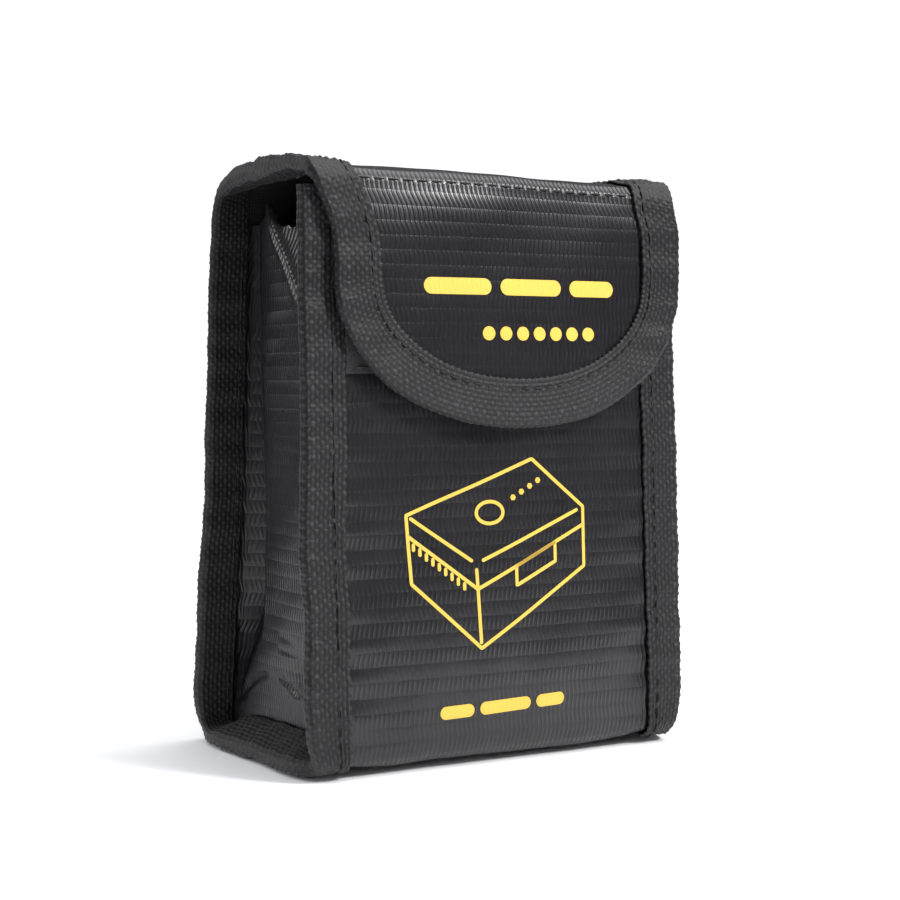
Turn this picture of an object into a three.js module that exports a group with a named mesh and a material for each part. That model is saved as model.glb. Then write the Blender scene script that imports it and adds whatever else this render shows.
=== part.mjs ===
// Fire-resistant pouch for a flat battery pack: a folded strip of coated glass cloth makes the
// front, bottom, back, top and flap; two pleated gussets close the sides; webbing binds each seam.
// Millimetres, +Z up, front towards -Y, origin on the floor under the middle of the pouch.

import * as THREE from 'three';

// Driving dimensions
const HEIGHT = 139.6;             // floor to the outer face of the lid cloth
const HALF_SEAM = 42;             // middle plane to the seam where a gusset meets the strip
const HALF_WIDTH = 52.5;          // middle plane to the tip of a bound seam
const HALF_DEPTH = 28;            // nominal, before the bag tapers towards its top
const HALF_DEPTH_TOP = 26;
const HALF_DEPTH_FLOOR = 32;
const CLOTH = 0.6;
const TAPE = 0.7;
const GAP = 0.3;
const FLOOR_BEND = 5;             // bend radii of the cloth strip
const BACK_BEND = 6;
const FLAP_BEND = 5;
const FRONT_TOP = 133;            // top edge of the front panel, under the flap
const GUSSET_TOP = 128;
const FLAP_STANDOFF = 3.8;        // flap cloth in front of the front panel
const FLAP_TIP_HEIGHT = 78;
const FLAP_HALF_WIDTH = 48.5;
const FLAP_ROUND = 36;            // height of the rounded tongue
const FLAP_POWER = 2.1;
const FLAP_SHIFT = 3.3;           // the flap hangs slightly to one side
const BINDING = 11.8;             // width of the folded tape on the flap
const THREAD = 0.4;
const INK = 0.2;
const LINE = 0.8;                 // width of a drawn line
const FASTENER = 0.8;             // thickness of the hook and loop pieces
const PLEAT_DEPTH = 4.5;
const SPLIT = 0.4;                // open width where the strip is divided at a fold
const ARCH = 5.2;                 // rise of the bottom seam over the floor
const TIP_REST = 1.3;             // clothed tip of a bottom margin, with its tape just on the floor
const FOLD_REST = 1;              // the bottom folds stand this far off the floor
const EASE = 2;                   // how much the stiff seams hold the walls up over the sagging bottom
const SPREAD = 0.9;               // extra half width of the filled-out lower part
const FLARE = 1.2;                // how far the rear seams spread at their foot
const DROOP = 0.07;               // slope of the lid's side margins
const DROOP_START = 39;
const CORNER_PULL = 3.4;          // how far a margin's tip is drawn in at the rear top corner
const CORNER_REACH = 11;
const CENTRE_Y = 0.88;            // brings the middle of the whole bag over the origin

const CLOTH_LOOK = { color: 0x2b282e, roughness: 0.42, metalness: 0.0 };
const TAPE_LOOK = { color: 0x1c1b1f, roughness: 0.85, metalness: 0.0 };
const FASTENER_LOOK = { color: 0x141416, roughness: 0.95, metalness: 0.0 };
const THREAD_LOOK = { color: 0x0e0e10, roughness: 0.7, metalness: 0.0 };
const INK_LOOK = { color: 0xf3cf4a, roughness: 0.55, metalness: 0.0 };

const clamp = (value, low, high) => Math.min(high, Math.max(low, value));
const lerp = THREE.MathUtils.lerp;

function smoothstep(from, to, value) {
  const t = clamp((value - from) / (to - from), 0, 1);
  return t * t * (3 - 2 * t);
}

// ---------------------------------------------------------------- the shape of the standing bag

// How far the bottom rises off the floor towards its bound sides, whose tips hang down again.
function bottomRise(across, y) {
  const midway = 1 - smoothstep(12, 27, Math.abs(y));
  const tip = clamp((across - HALF_SEAM) / (HALF_WIDTH - HALF_SEAM), 0, 1.1);
  const arch = ARCH * (smoothstep(27, HALF_SEAM, across) - tip);
  const rest = lerp(FOLD_REST * (1 - midway), TIP_REST, smoothstep(36, HALF_SEAM, across));
  return rest + arch * midway;
}

// Bends the straight pouch into its standing shape: tapered, leaning, its margins drooping.
function settle(point) {
  const { x, y, z } = point;
  const t = clamp(z / HEIGHT, 0, 1);
  const across = Math.abs(x);
  const outside = Math.max(0, across - HALF_SEAM);
  const frontness = 0.5 - 0.5 * y / HALF_DEPTH;

  const halfDepth = HALF_DEPTH_TOP + (HALF_DEPTH_FLOOR - HALF_DEPTH_TOP) * Math.pow(1 - t, 1.5);
  const belly = Math.pow(Math.cos(Math.PI / 2 * clamp(x / HALF_SEAM, -1, 1)), 2) * Math.sin(Math.PI * t);
  const skew = 2.6 * (x / HALF_WIDTH) * (1 - t) * frontness;

  const toFold = (Math.hypot(Math.abs(y) - HALF_DEPTH, z)) / 6;
  const pinch = 1 - 0.25 * Math.exp(-toFold * toFold);
  const droop = DROOP * Math.max(0, across - DROOP_START) * smoothstep(124, 138, z);
  const toCorner = Math.hypot(y - HALF_DEPTH, z - HEIGHT) / CORNER_REACH;
  const overMargin = clamp((across - HALF_SEAM + 0.5) / 11, 0, 1.1);
  const pull = CORNER_PULL * Math.exp(-toCorner * toCorner) * overMargin;
  const flare = FLARE * smoothstep(-10, 28, y) * (1 - smoothstep(0, 70, z));
  const spread = SPREAD * Math.min(1, across / HALF_SEAM) * (1 - smoothstep(60, 135, z));
  const lift = lerp(bottomRise(across, y), EASE, smoothstep(3, 28, z));
  const bulge = (y < 0 ? -1.5 : 1.0) * belly * Math.abs(y) / HALF_DEPTH;

  return new THREE.Vector3(
    Math.sign(x) * ((Math.min(across, HALF_SEAM) + outside * pinch) * (1 - 0.015 * t)
      + spread + flare * Math.min(1, across / HALF_SEAM)),
    y * halfDepth / HALF_DEPTH + skew + bulge + CENTRE_Y - 0.7 * pull + flare * overMargin,
    z + lift - droop - pull,
  );
}

// ---------------------------------------------------------------- the path of the cloth strip

// A chain of lines and arcs in the plane across the bag, measured by its length s.
class StripPath {
  constructor(y, z, heading) {
    this.pieces = [];
    this.length = 0;
    this.end = { y, z, heading };
  }

  line(length) {
    this.pieces.push({ s: this.length, length, turn: 0, ...this.end });
    this.end.y += length * Math.cos(this.end.heading);
    this.end.z += length * Math.sin(this.end.heading);
    this.length += length;
    return this;
  }

  quarter(radius) {
    const { y, z, heading } = this.end;
    const length = radius * Math.PI / 2;
    this.pieces.push({ s: this.length, length, turn: 1 / radius, y, z, heading });
    this.end.heading = heading + Math.PI / 2;
    this.end.y += radius * (Math.sin(this.end.heading) - Math.sin(heading));
    this.end.z += radius * (Math.cos(heading) - Math.cos(this.end.heading));
    this.length += length;
    return this;
  }

  // The point on the strip's outer face at s, moved outwards by offset.
  at(s, offset) {
    const piece = this.pieces.findLast((each) => each.s <= s + 1e-9) ?? this.pieces[0];
    const along = s - piece.s;
    const heading = piece.heading + along * piece.turn;
    let y = piece.y;
    let z = piece.z;
    if (piece.turn) {
      y += (Math.sin(heading) - Math.sin(piece.heading)) / piece.turn;
      z += (Math.cos(piece.heading) - Math.cos(heading)) / piece.turn;
    } else {
      y += along * Math.cos(heading);
      z += along * Math.sin(heading);
    }
    return { y: y + offset * Math.sin(heading), z: z - offset * Math.cos(heading) };
  }

  middle(index) {
    return this.pieces[index].s + this.pieces[index].length / 2;
  }
}

const frontDrop = FRONT_TOP - FLOOR_BEND;
const floorRun = 2 * (HALF_DEPTH - FLOOR_BEND);
const backRise = HEIGHT - FLOOR_BEND - BACK_BEND;
const lidRun = 2 * HALF_DEPTH + FLAP_STANDOFF - BACK_BEND - FLAP_BEND;
const flapDrop = HEIGHT - FLAP_BEND - FLAP_TIP_HEIGHT;

const strip = new StripPath(-HALF_DEPTH, FRONT_TOP, -Math.PI / 2)
  .line(frontDrop).quarter(FLOOR_BEND).line(floorRun).quarter(FLOOR_BEND)
  .line(backRise).quarter(BACK_BEND).line(lidRun).quarter(FLAP_BEND).line(flapDrop);

const foldFront = strip.middle(1);
const foldBack = strip.middle(3);
const foldLid = strip.middle(5);
const foldFlap = strip.middle(7);
const lidSeam = strip.pieces[6].s + lidRun * 0.5;
const backStart = strip.pieces[4].s;

// Heights at which the upright walls are divided, shared by every layer.
const wallHeights = [FLOOR_BEND, 10, 16, 24, 36, 50, 66, 82, 98, 112, 121, GUSSET_TOP];

// Places from front to back along the flat of the bottom, shared with the gussets' columns.
const floorPlaces = [-20.5, -18, -15, -11, -2, 8, 12, 15.5, 19, 21];

const floorStation = (y) => strip.pieces[2].s + y + floorRun / 2;

const stations = [
  0,
  ...wallHeights.map((z) => FRONT_TOP - z).reverse(),
  foldFront,
  strip.pieces[2].s,
  ...floorPlaces.map(floorStation),
  strip.pieces[3].s,
  foldBack,
  ...wallHeights.map((z) => backStart + z - FLOOR_BEND),
  strip.pieces[5].s,
  foldLid,
  ...[0, 0.25, 0.5, 0.75].map((part) => strip.pieces[6].s + part * lidRun),
  strip.pieces[7].s,
  foldFlap,
  strip.pieces[8].s,
];

function stationsBetween(from, to) {
  return [from, ...stations.filter((s) => s > from + 0.5 && s < to - 0.5), to];
}

function stripPoint(x, s, offset) {
  const { y, z } = strip.at(s, offset);
  return settle(new THREE.Vector3(x, y, z));
}

// ---------------------------------------------------------------- thin closed solids

// Joins two matching layers of points over the same quads and closes the rim between them.
function shellMesh(name, outer, inner, quads, look) {
  const count = outer.length;
  const positions = [...outer, ...inner].flatMap((p) => [p.x, p.y, p.z]);
  const index = [];
  const open = new Map();
  for (const quad of quads) {
    const [a, b, c, d] = quad;
    index.push(a, b, c, a, c, d);
    index.push(count + a, count + c, count + b, count + a, count + d, count + c);
    quad.forEach((from, corner) => {
      const to = quad[(corner + 1) % 4];
      if (!open.delete(`${to},${from}`)) open.set(`${from},${to}`, [from, to]);
    });
  }
  for (const [from, to] of open.values()) {
    index.push(to, from, count + from, to, count + from, count + to);
  }
  const geometry = new THREE.BufferGeometry();
  geometry.setAttribute('position', new THREE.Float32BufferAttribute(positions, 3));
  geometry.setIndex(index);
  geometry.computeVertexNormals();
  const mesh = new THREE.Mesh(geometry, new THREE.MeshStandardMaterial(look));
  mesh.name = name;
  return mesh;
}

// Quads over a grid of columns by rows, stored row by row. Turned, they face the other way.
function gridQuads(columns, rows, turned = false, start = 0) {
  const quads = [];
  for (let row = 0; row < rows - 1; row += 1) {
    for (let column = 0; column < columns - 1; column += 1) {
      const a = start + row * columns + column;
      const quad = [a, a + columns, a + columns + 1, a + 1];
      quads.push(turned ? quad.reverse() : quad);
    }
  }
  return quads;
}

// ---------------------------------------------------------------- cloth panels

const clothEdge = HALF_WIDTH - 1;
const panelColumns = [clothEdge, HALF_SEAM, 37, 32, 27, 18, 9];
const panelAcross = [...panelColumns.map((x) => -x), 0, ...panelColumns.toReversed()];

function stripPanel(name, from, to) {
  const rows = stationsBetween(from, to);
  const layer = (offset) => rows.flatMap((s) => panelAcross.map((x) => stripPoint(x, s, offset)));
  const quads = gridQuads(panelAcross.length, rows.length);
  return shellMesh(name, layer(0), layer(-CLOTH), quads, CLOTH_LOOK);
}

// Height of the flap above its tip for a place on the flap's flat cloth, and the outline's width.
const flapStart = foldFlap + SPLIT / 2;
const flapTip = strip.length;
const flapRoundStart = flapTip - FLAP_ROUND;

function flapShift(s) {
  const down = clamp((s - flapStart) / (flapTip - flapStart), 0, 1);
  return FLAP_SHIFT * smoothstep(0, 0.28, down);
}

// The flap's edge: angle runs from -1 at the left end of the tongue to 1 at the right end.
function tonguePoint(angle, inset) {
  const turn = Math.abs(angle) * Math.PI / 2;
  const power = 2 / FLAP_POWER;
  const half = Math.sign(angle) * FLAP_HALF_WIDTH * Math.pow(Math.sin(turn), power);
  const down = FLAP_ROUND * Math.pow(Math.cos(turn), power);
  const slope = new THREE.Vector2(
    Math.sign(angle) * Math.pow(Math.sin(turn), 2 - power) / FLAP_HALF_WIDTH,
    Math.pow(Math.cos(turn), 2 - power) / FLAP_ROUND,
  ).normalize();
  const s = flapRoundStart + down - inset * slope.y;
  return { x: half - inset * slope.x, s };
}

function flapEdge(side, s, inset) {
  const widen = 2.5 * Math.pow(clamp((flapRoundStart - s) / (flapRoundStart - flapStart), 0, 1), 2);
  return { x: side * (FLAP_HALF_WIDTH + widen - inset), s };
}

const tongueSteps = 22;
const sideRows = [flapStart, strip.pieces[8].s, lerp(strip.pieces[8].s, flapRoundStart, 0.35),
  lerp(strip.pieces[8].s, flapRoundStart, 0.7)];

// The whole free edge from the left of the fold, round the tongue, to the right of the fold.
function flapOutline(inset) {
  const left = sideRows.map((s) => flapEdge(-1, s, inset));
  const right = sideRows.toReversed().map((s) => flapEdge(1, s, inset));
  const tongue = Array.from({ length: tongueSteps + 1 }, (_, step) => {
    return tonguePoint(2 * step / tongueSteps - 1, inset);
  });
  return [...left, ...tongue, ...right];
}

function flapPoint({ x, s }, offset) {
  return stripPoint(x + flapShift(s), s, offset);
}

function flapPanel() {
  const inset = 1;
  const tongue = flapOutline(inset).slice(sideRows.length, -sideRows.length);
  const fractions = [0, 0.25, 0.5, 0.75, 1];
  const rowAt = (row) => {
    if (row < sideRows.length) {
      return tongue.map((end, column) => {
        const u = 2 * column / tongueSteps - 1;
        const edge = flapEdge(Math.sign(u), sideRows[row], inset);
        return { x: Math.abs(edge.x) * Math.sin(u * Math.PI / 2), s: edge.s };
      });
    }
    const part = fractions[row - sideRows.length];
    const edge = flapEdge(1, flapRoundStart, inset);
    return tongue.map((end, column) => {
      const u = 2 * column / tongueSteps - 1;
      const x = edge.x * Math.sin(u * Math.PI / 2);
      return { x: lerp(x, end.x, part), s: lerp(lerp(flapRoundStart, edge.s - 2, 1 - part), end.s, part) };
    });
  };
  const rows = sideRows.length + fractions.length;
  const places = Array.from({ length: rows }, (_, row) => rowAt(row)).flat();
  const layer = (offset) => places.map((place) => flapPoint(place, offset));
  return shellMesh('flap_panel', layer(0), layer(-CLOTH), gridQuads(tongueSteps + 1, rows), CLOTH_LOOK);
}

// ---------------------------------------------------------------- gussets

const valleyY = HALF_DEPTH - FLOOR_BEND;

function ridgeY(z) {
  return 19 - 5 * smoothstep(8, 50, z);
}

// Height of a gusset's raw top edge: low in front, with a tip at the ridge of its pleat.
function gussetTop(y) {
  const tip = 4.4 * Math.exp(-Math.pow((y - 14.5) / 4.5, 2));
  const edge = 124.3 + 3.7 * smoothstep(-8, 12, y) + tip;
  const seams = smoothstep(-27.4, -24.5, y) * (1 - smoothstep(25, 27.4, y));
  return lerp(GUSSET_TOP, edge, seams);
}

function gussetDepth(y, z) {
  const open = PLEAT_DEPTH * smoothstep(6, 36, z);
  const ridge = ridgeY(z);
  const toBack = clamp((HALF_DEPTH - y) / (HALF_DEPTH - valleyY), 0, 1);
  const toRidge = clamp((y - ridge) / (valleyY - ridge), 0, 1);
  const pleat = open * Math.min(toBack, toRidge);
  const crease = lerp(110, GUSSET_TOP + 2, clamp((y + HALF_DEPTH) / (ridge + HALF_DEPTH), 0, 1));
  const lean = 0.24 * Math.max(0, z - crease) * clamp((y + HALF_DEPTH) / 6, 0, 1);
  const puff = 0.9 * Math.sin(Math.PI * clamp((y + HALF_DEPTH) / (ridge + HALF_DEPTH), 0, 1));
  return pleat + lean - puff * smoothstep(6, 24, z);
}

// One gusset: a side wall with the pleat, and the margins that turn out into the bound seams.
function gusset(name, side) {
  const frontColumns = floorPlaces.slice(0, -2);
  const columns = frontColumns.length + 6;
  const rows = wallHeights.length + 1;

  const columnY = (column, z) => {
    const ridge = ridgeY(z);
    return [-valleyY, ...frontColumns, ridge, lerp(ridge, valleyY, 0.5), valleyY][column - 1];
  };
  const frontWall = (z) => FRONT_TOP - z;
  const backWall = (z) => backStart + z - FLOOR_BEND;

  const wallPoint = (column, row, layer) => {
    const x = side * (HALF_SEAM + layer * CLOTH);
    const offset = -CLOTH - GAP - layer * CLOTH;
    const height = wallHeights[row - 1];
    if (column === 0) return stripPoint(x, row ? frontWall(height) : foldFront, offset);
    if (column === columns - 1) return stripPoint(x, row ? backWall(height) : foldBack, offset);
    const y = columnY(column, height ?? 0);
    if (!row) return settle(new THREE.Vector3(x, y, -offset));
    const z = row === rows - 1 ? gussetTop(y) : height;
    return settle(new THREE.Vector3(x - side * gussetDepth(y, z), y, z));
  };

  // The wall's edge from the front top, under the bottom, to the back top, and its place s.
  const edge = [];
  for (let row = rows - 1; row > 0; row -= 1) edge.push([row * columns, frontWall(wallHeights[row - 1])]);
  edge.push([0, foldFront]);
  for (let column = 1; column < columns - 1; column += 1) edge.push([column, null]);
  edge.push([columns - 1, foldBack]);
  for (let row = 1; row < rows; row += 1) {
    edge.push([(row + 1) * columns - 1, backWall(wallHeights[row - 1])]);
  }

  const layerPoints = (layer) => {
    const wall = [];
    for (let row = 0; row < rows; row += 1) {
      for (let column = 0; column < columns; column += 1) wall.push(wallPoint(column, row, layer));
    }
    const margin = edge.map(([vertex, s]) => {
      const offset = -CLOTH - GAP - layer * CLOTH;
      if (s !== null) return stripPoint(side * clothEdge, s, offset);
      return settle(new THREE.Vector3(side * clothEdge, columnY(vertex, 0), -offset));
    });
    return [...wall, ...margin];
  };

  const quads = gridQuads(columns, rows, side > 0);
  const first = columns * rows;
  for (let step = 0; step < edge.length - 1; step += 1) {
    const quad = [first + step, edge[step][0], edge[step + 1][0], first + step + 1];
    quads.push(side > 0 ? quad.reverse() : quad);
  }
  return shellMesh(name, layerPoints(1), layerPoints(0), quads, CLOTH_LOOK);
}

// ---------------------------------------------------------------- binding tapes

const tapeTip = HALF_WIDTH - TAPE;                 // inside of the tape's fold
const seamDepth = 2 * CLOTH + GAP;                 // strip and gusset margin in one tape
const outerReach = tapeTip - HALF_SEAM + 0.5;
const innerReach = tapeTip - HALF_SEAM - 1.2;

// A folded tape round a cloth edge. The place function takes a stop, a distance in from the
// inside of the tape's fold and an offset; depth is the thickness of the cloth inside.
function tape(name, stops, place, { depth, outer, inner, turned }) {
  const under = depth + GAP;
  const away = [[outer, GAP + TAPE], [-TAPE, GAP + TAPE], [-TAPE, -under - TAPE], [inner, -under - TAPE]];
  const near = [[outer, GAP], [0, GAP], [0, -under], [inner, -under]];
  const layer = (section) => stops.flatMap((stop) => {
    return section.map(([inward, offset]) => place(stop, inward, offset));
  });
  // The inner leaf's quads are divided along the same diagonal as the cloth they lie on.
  const quads = gridQuads(4, stops.length, turned).map((quad, index) => {
    return index % 3 === 2 ? [...quad.slice(1), quad[0]] : quad;
  });
  return shellMesh(name, layer(away), layer(near), quads, TAPE_LOOK);
}

function seamTape(name, side, from, to, depth) {
  const place = (s, inward, offset) => stripPoint(side * (tapeTip - inward), s, offset);
  const shape = { depth, outer: outerReach, inner: innerReach, turned: side < 0 };
  return tape(name, stationsBetween(from, to), place, shape);
}

// A place at a distance in from the flap's free edge, for each stop of its outline.
function flapPlace(stop, inward, offset) {
  return flapPoint(flapOutline(inward + TAPE)[stop], offset);
}

const flapStops = flapOutline(0).map((place, stop) => stop);

function flapTape() {
  const shape = { depth: CLOTH, outer: BINDING - TAPE, inner: BINDING - TAPE - 1, turned: true };
  return tape('flap_binding', flapStops, flapPlace, shape);
}

// ---------------------------------------------------------------- hook and loop fastener

// A flat piece between two offsets, over a grid of places [x, s].
function patch(name, place, columns, rows, offsets, look) {
  const layer = (offset) => rows.flatMap((s) => columns.map((x) => place({ x, s }, offset)));
  const [high, low] = [Math.max(...offsets), Math.min(...offsets)];
  return shellMesh(name, layer(high), layer(low), gridQuads(columns.length, rows.length), look);
}

function divisions(from, to, steps) {
  return Array.from({ length: steps + 1 }, (_, step) => lerp(from, to, step / steps));
}

const frontPlace = ({ x, s }, offset) => stripPoint(x, s, offset);
const frontHeight = (z) => FRONT_TOP - z;
const flapHeight = (z) => strip.pieces[8].s + HEIGHT - FLAP_BEND - z;

function loopStrip() {
  const half = HALF_SEAM - 0.9;
  const columns = divisions(-half, half, 10);
  const rows = [116, 112, 98, 91].map(frontHeight);
  return patch('loop_strip', frontPlace, columns, rows, [GAP, GAP + FASTENER], FASTENER_LOOK);
}

function hookPatch() {
  const columns = divisions(-21, 21, 6);
  const rows = divisions(flapHeight(116), flapHeight(98), 2);
  const offsets = [-CLOTH - GAP, -CLOTH - GAP - FASTENER];
  return patch('hook_patch', flapPoint, columns, rows, offsets, FASTENER_LOOK);
}

// ---------------------------------------------------------------- threads and ink

// A narrow band along a chain of places, lying between two offsets; a closed chain makes a ring.
function band(name, place, chain, width, low, thickness, look, closed = false) {
  const count = chain.length;
  const sideways = chain.map((here, step) => {
    const before = chain[closed ? (step + count - 1) % count : Math.max(step - 1, 0)];
    const after = chain[closed ? (step + 1) % count : Math.min(step + 1, count - 1)];
    const along = new THREE.Vector2(after.x - before.x, after.s - before.s).normalize();
    return { x: -along.y * width / 2, s: along.x * width / 2 };
  });
  const edge = (sign, offset) => chain.map((here, step) => {
    const { x, s } = sideways[step];
    return place({ x: here.x + sign * x, s: here.s + sign * s }, offset);
  });
  const layer = (offset) => [...edge(1, offset), ...edge(-1, offset)];
  const quads = [];
  for (let step = 0; step < count - (closed ? 0 : 1); step += 1) {
    const next = (step + 1) % count;
    quads.push([step, next, count + next, count + step]);
  }
  return shellMesh(name, layer(low + thickness), layer(low), quads, look);
}

function seamThread(name, side, from, to) {
  const x = side * (HALF_SEAM + 2.5);
  const chain = stationsBetween(from, to).map((s) => ({ x, s }));
  return band(name, frontPlace, chain, THREAD, 2 * GAP + TAPE, THREAD, THREAD_LOOK);
}

function flapThread() {
  const chain = flapOutline(BINDING - 2.5);
  return band('flap_binding_thread', flapPoint, chain, THREAD, 2 * GAP + TAPE, THREAD, THREAD_LOOK);
}

function foldThread() {
  const s = strip.pieces[8].s - 1.4;
  const chain = divisions(-38.5, 38.5, 8).map((x) => ({ x, s }));
  return band('flap_fold_thread', flapPoint, chain, THREAD, GAP, THREAD, THREAD_LOOK);
}

function loopThread() {
  const chain = divisions(-39, 39, 10).map((x) => ({ x, s: frontHeight(92.5) }));
  return band('loop_strip_thread', frontPlace, chain, THREAD, 2 * GAP + FASTENER, THREAD, THREAD_LOOK);
}

// Straight edges of a closed drawing, divided so that the ink follows the cloth.
function drawnLoop(corners) {
  return corners.flatMap(([x, z], index) => {
    const [toX, toZ] = corners[(index + 1) % corners.length];
    return [0, 0.33, 0.67].map((t) => ({ x: lerp(x, toX, t), s: frontHeight(lerp(z, toZ, t)) }));
  });
}

function drawnLine([x, z], [toX, toZ]) {
  return divisions(0, 1, 4).map((t) => ({ x: lerp(x, toX, t), s: frontHeight(lerp(z, toZ, t)) }));
}

function drawnOval(x, z, radiusX, radiusZ, steps) {
  return Array.from({ length: steps }, (_, step) => {
    const turn = 2 * Math.PI * step / steps;
    return { x: x + radiusX * Math.cos(turn), s: frontHeight(z + radiusZ * Math.sin(turn)) };
  });
}

function inkDot(name, x, z, radius) {
  const rim = drawnOval(x, z, radius, radius, 8);
  const layer = (offset) => rim.map((place) => frontPlace(place, offset));
  const quads = [[0, 1, 2, 3], [0, 3, 4, 7], [4, 5, 6, 7]];
  return shellMesh(name, layer(GAP + INK), layer(GAP), quads, INK_LOOK);
}

function inkBar(name, place, x, s, length, height, offset) {
  const chain = divisions(x - length / 2, x + length / 2, 6).map((at) => ({ x: at, s }));
  return band(name, place, chain, height, offset, INK, INK_LOOK);
}

// A drawing of a battery pack seen from a corner: its outline, three edges, a button and lights.
function packDrawing() {
  const [left, top, right, middle] = [[-26, 58], [8, 70.5], [23, 58.5], [-8, 46]];
  const [lowRight, lowMiddle, lowLeft] = [[23, 44], [-7, 26], [-25, 42]];
  const line = (name, chain, closed) => {
    return band(name, frontPlace, chain, LINE, GAP, INK, INK_LOOK, closed);
  };
  const toward = (from, to, t) => [lerp(from[0], to[0], t), lerp(from[1], to[1], t)];
  const edges = { left, right, lower: lowMiddle };
  const outline = [left, top, right, lowRight, lowMiddle, lowLeft];
  const pieces = [
    line('pack_outline_print', drawnLoop(outline), true),
    line('pack_button_print', drawnOval(-4, 58, 3.6, 2.6, 14).reverse(), true),
  ];
  for (const [name, end] of Object.entries(edges)) {
    const chain = drawnLine(toward(middle, end, 0.07), toward(middle, end, 0.93));
    pieces.push(line(`pack_${name}_edge_print`, chain, false));
  }
  for (let dot = 0; dot < 4; dot += 1) {
    pieces.push(inkDot(`pack_light_${dot + 1}_print`, 2.5 + 2.4 * dot, 61.4 + 1.3 * dot, 0.7));
  }
  return pieces;
}

// ---------------------------------------------------------------- the pouch

const group = new THREE.Group();
const half = SPLIT / 2;

group.add(stripPanel('front_panel', 0, foldFront - half));
group.add(stripPanel('bottom_panel', foldFront + half, foldBack - half));
group.add(stripPanel('back_panel', foldBack + half, foldLid - half));
group.add(stripPanel('top_panel', foldLid + half, foldFlap - half));
group.add(flapPanel());

for (const [name, side] of [['left', -1], ['right', 1]]) {
  group.add(gusset(`${name}_gusset`, side));
  group.add(seamTape(`${name}_front_binding`, side, 0, foldFront - half, seamDepth));
  group.add(seamTape(`${name}_bottom_binding`, side, foldFront + half, foldBack - half, seamDepth));
  group.add(seamTape(`${name}_back_binding`, side, foldBack + half, foldLid - half, seamDepth));
  group.add(seamTape(`${name}_top_rear_binding`, side, foldLid + half, lidSeam - half, CLOTH));
  group.add(seamTape(`${name}_top_front_binding`, side, lidSeam + half, foldFlap - half, CLOTH));
  group.add(seamThread(`${name}_front_thread`, side, 3, strip.pieces[1].s));
  group.add(seamThread(`${name}_bottom_thread`, side, floorStation(-11), floorStation(15.5)));
  group.add(seamThread(`${name}_back_thread`, side, backStart, strip.pieces[5].s));
}

group.add(flapTape(), loopStrip(), hookPatch());
group.add(flapThread(), foldThread(), loopThread());
group.add(...packDrawing());
group.add(inkBar('pack_caption_print', frontPlace, -1, frontHeight(12.5), 34, 3, GAP));
group.add(inkBar('flap_word_print', flapPoint, 1.25, flapHeight(111.5), 54, 3.6, GAP));
group.add(inkBar('flap_mark_print', flapPoint, 5.85, flapHeight(100.5), 33, 3.2, GAP));

export default group;
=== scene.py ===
import math

import bpy
import numpy as np
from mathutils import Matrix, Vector


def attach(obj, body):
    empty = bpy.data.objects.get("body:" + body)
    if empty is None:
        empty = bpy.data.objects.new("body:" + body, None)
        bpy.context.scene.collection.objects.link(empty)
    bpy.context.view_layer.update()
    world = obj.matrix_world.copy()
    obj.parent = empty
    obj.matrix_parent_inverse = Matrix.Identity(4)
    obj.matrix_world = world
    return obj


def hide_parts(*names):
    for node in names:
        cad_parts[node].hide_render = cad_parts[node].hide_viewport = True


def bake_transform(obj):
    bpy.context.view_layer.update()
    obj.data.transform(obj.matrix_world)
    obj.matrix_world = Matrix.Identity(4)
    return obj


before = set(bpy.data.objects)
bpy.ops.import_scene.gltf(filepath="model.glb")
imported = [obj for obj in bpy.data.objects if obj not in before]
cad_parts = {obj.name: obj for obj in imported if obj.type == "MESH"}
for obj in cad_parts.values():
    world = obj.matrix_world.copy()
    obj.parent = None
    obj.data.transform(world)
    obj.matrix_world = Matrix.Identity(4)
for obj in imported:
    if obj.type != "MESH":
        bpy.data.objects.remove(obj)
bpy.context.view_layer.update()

# A soft battery pouch: coated glass cloth bound with woven tape. Lengths are millimetres until
# a mesh is made. The shape follows the strip path and settling of the CAD part.

# ---------------- driving sizes
HEIGHT = 139.6
HALF_SEAM = 42.0         # from the middle to the inner edge of a side seam
HALF_WIDTH = 52.5        # from the middle to the outside of a side tape
HALF_DEPTH = 28.0        # before the pouch settles
HALF_DEPTH_TOP = 26.0    # after it has settled
HALF_DEPTH_FLOOR = 32.0
CLOTH = 0.6
TAPE = 0.7
GAP = 0.3                # between two layers that lie on each other
FLOOR_BEND = 5.0         # radii of the strip's folds
BACK_BEND = 6.0
FLAP_BEND = 5.0
FRONT_TOP = 133.0
GUSSET_TOP = 128.0
FLAP_STANDOFF = 3.8      # how far the flap hangs in front of the front panel
FLAP_TIP_HEIGHT = 78.0
FLAP_HALF_WIDTH = 48.5
FLAP_ROUND = 36.0        # height of the rounded tongue
FLAP_POWER = 2.1         # 2 makes the tongue an ellipse, more makes it squarer
FLAP_SHIFT = 3.3         # how far the tongue hangs to the left
FLAP_INSET = 1.2         # the flap's cloth ends this far inside its tape
BINDING = 11.8           # visible width of the flap's tape
FRONT_LAP = 1.0          # the front tapes stand this far over the front panel
FASTENER = 0.8
LOOP_HEIGHTS = (91, 116)
LOOP_STITCH_HEIGHT = 92.5
HOOK_HEIGHTS = (98, 116)
HOOK_HALF_WIDTH = 21
HOOK_PITCH = 1.25
PLEAT_DEPTH = 6.5
PLEAT_FOLD = 14.5        # from front to back, where the mesh follows the pleat's edge
TIP_PLACE = 12.7         # where the gusset's raw top edge comes to a point

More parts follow.
